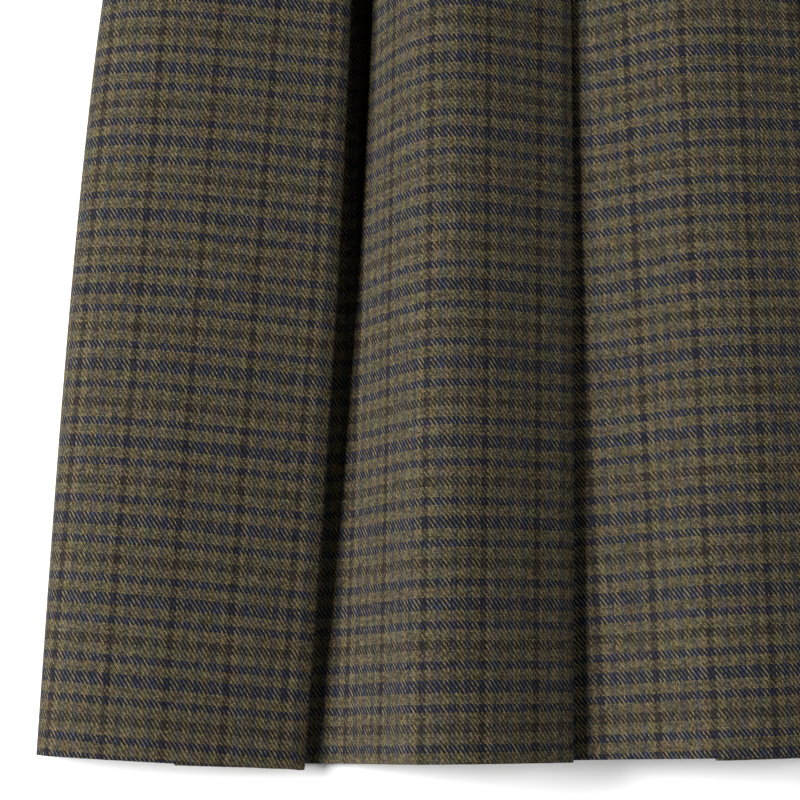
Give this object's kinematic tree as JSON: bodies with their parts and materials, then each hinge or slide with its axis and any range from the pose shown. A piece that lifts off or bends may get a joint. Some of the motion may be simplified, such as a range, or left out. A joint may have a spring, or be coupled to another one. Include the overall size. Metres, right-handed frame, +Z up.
{
  "type": "pleated check wool skirt laid flat",
  "caption": "Knee-length A-line skirt of checked wool twill with deep knife pleats and a lapped, buttoned waistband, closed and laid flat on its back.",
  "frame": {"origin": "centre of the skirt's footprint, on the surface that it lies on", "axes": "+X across the skirt to the viewer's right as its front is seen, +Y from the hem to the waistband, +Z up from the surface"},
  "size_m": [0.51, 0.604, 0.0556],
  "materials": {
    "check_cloth": "olive wool twill with a small navy and dark brown check",
    "band_cloth": "the same checked wool twill, folded and interfaced",
    "button_horn": "satin dark horn"
  },
  "bodies": {
    "root": {"skirt_front": "check_cloth", "skirt_back": "check_cloth", "waistband": "band_cloth", "waist_button": "button_horn"}
  },
  "joints": []
}
